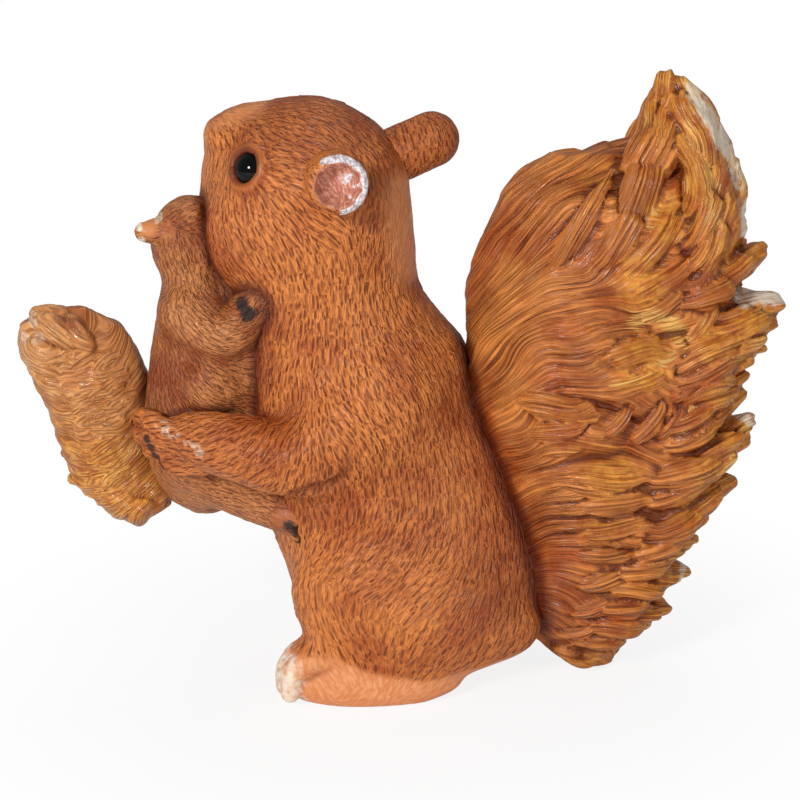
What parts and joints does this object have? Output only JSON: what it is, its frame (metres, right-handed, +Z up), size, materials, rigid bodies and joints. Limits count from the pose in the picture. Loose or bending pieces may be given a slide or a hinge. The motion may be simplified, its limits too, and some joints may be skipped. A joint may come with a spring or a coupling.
{
  "type": "squirrel figurine",
  "caption": "Painted cast-resin figurine of a sitting squirrel holding a young squirrel to its chest, with a tall brush tail of overlapping locks and glossy black eyes.",
  "frame": {"origin": "centre of the footprint of the bounding box, on the plane that the feet and the tail rest on", "axes": "the larger squirrel faces -X with its tail towards +X, its left side is towards -Y, and +Z is up"},
  "size_m": [0.1958, 0.0639, 0.158],
  "materials": {
    "fur_paint": "satin orange-brown paint on cast resin with dark red-brown carved strokes",
    "tail_paint": "satin red-brown paint with golden tips on cast resin",
    "ear_paint": "satin pink-brown paint with a pale rim on cast resin",
    "foot_paint": "satin pale orange paint with whitish toes on cast resin",
    "young_fur_paint": "satin brown paint on cast resin",
    "young_tail_paint": "glossy golden-brown paint on cast resin",
    "eye_gloss": "glossy black",
    "pin_steel": "plain steel"
  },
  "bodies": {
    "root": {"mother_body": "fur_paint", "mother_tail": "tail_paint", "mother_ear_left": "ear_paint", "mother_ear_right": "ear_paint", "mother_eye_left": "eye_gloss", "mother_eye_right": "eye_gloss", "mother_arm_left": "fur_paint", "mother_arm_right": "fur_paint", "mother_foot_left": "foot_paint", "mother_foot_right": "foot_paint", "baby_body": "young_fur_paint", "baby_tail": "young_tail_paint", "baby_eye_left": "eye_gloss", "tail_pin_lower": "pin_steel", "tail_pin_upper": "pin_steel", "arm_pin_left": "pin_steel", "arm_pin_right": "pin_steel", "foot_pin_left": "pin_steel", "foot_pin_right": "pin_steel", "baby_pin": "pin_steel", "baby_tail_pin": "pin_steel"}
  },
  "joints": []
}
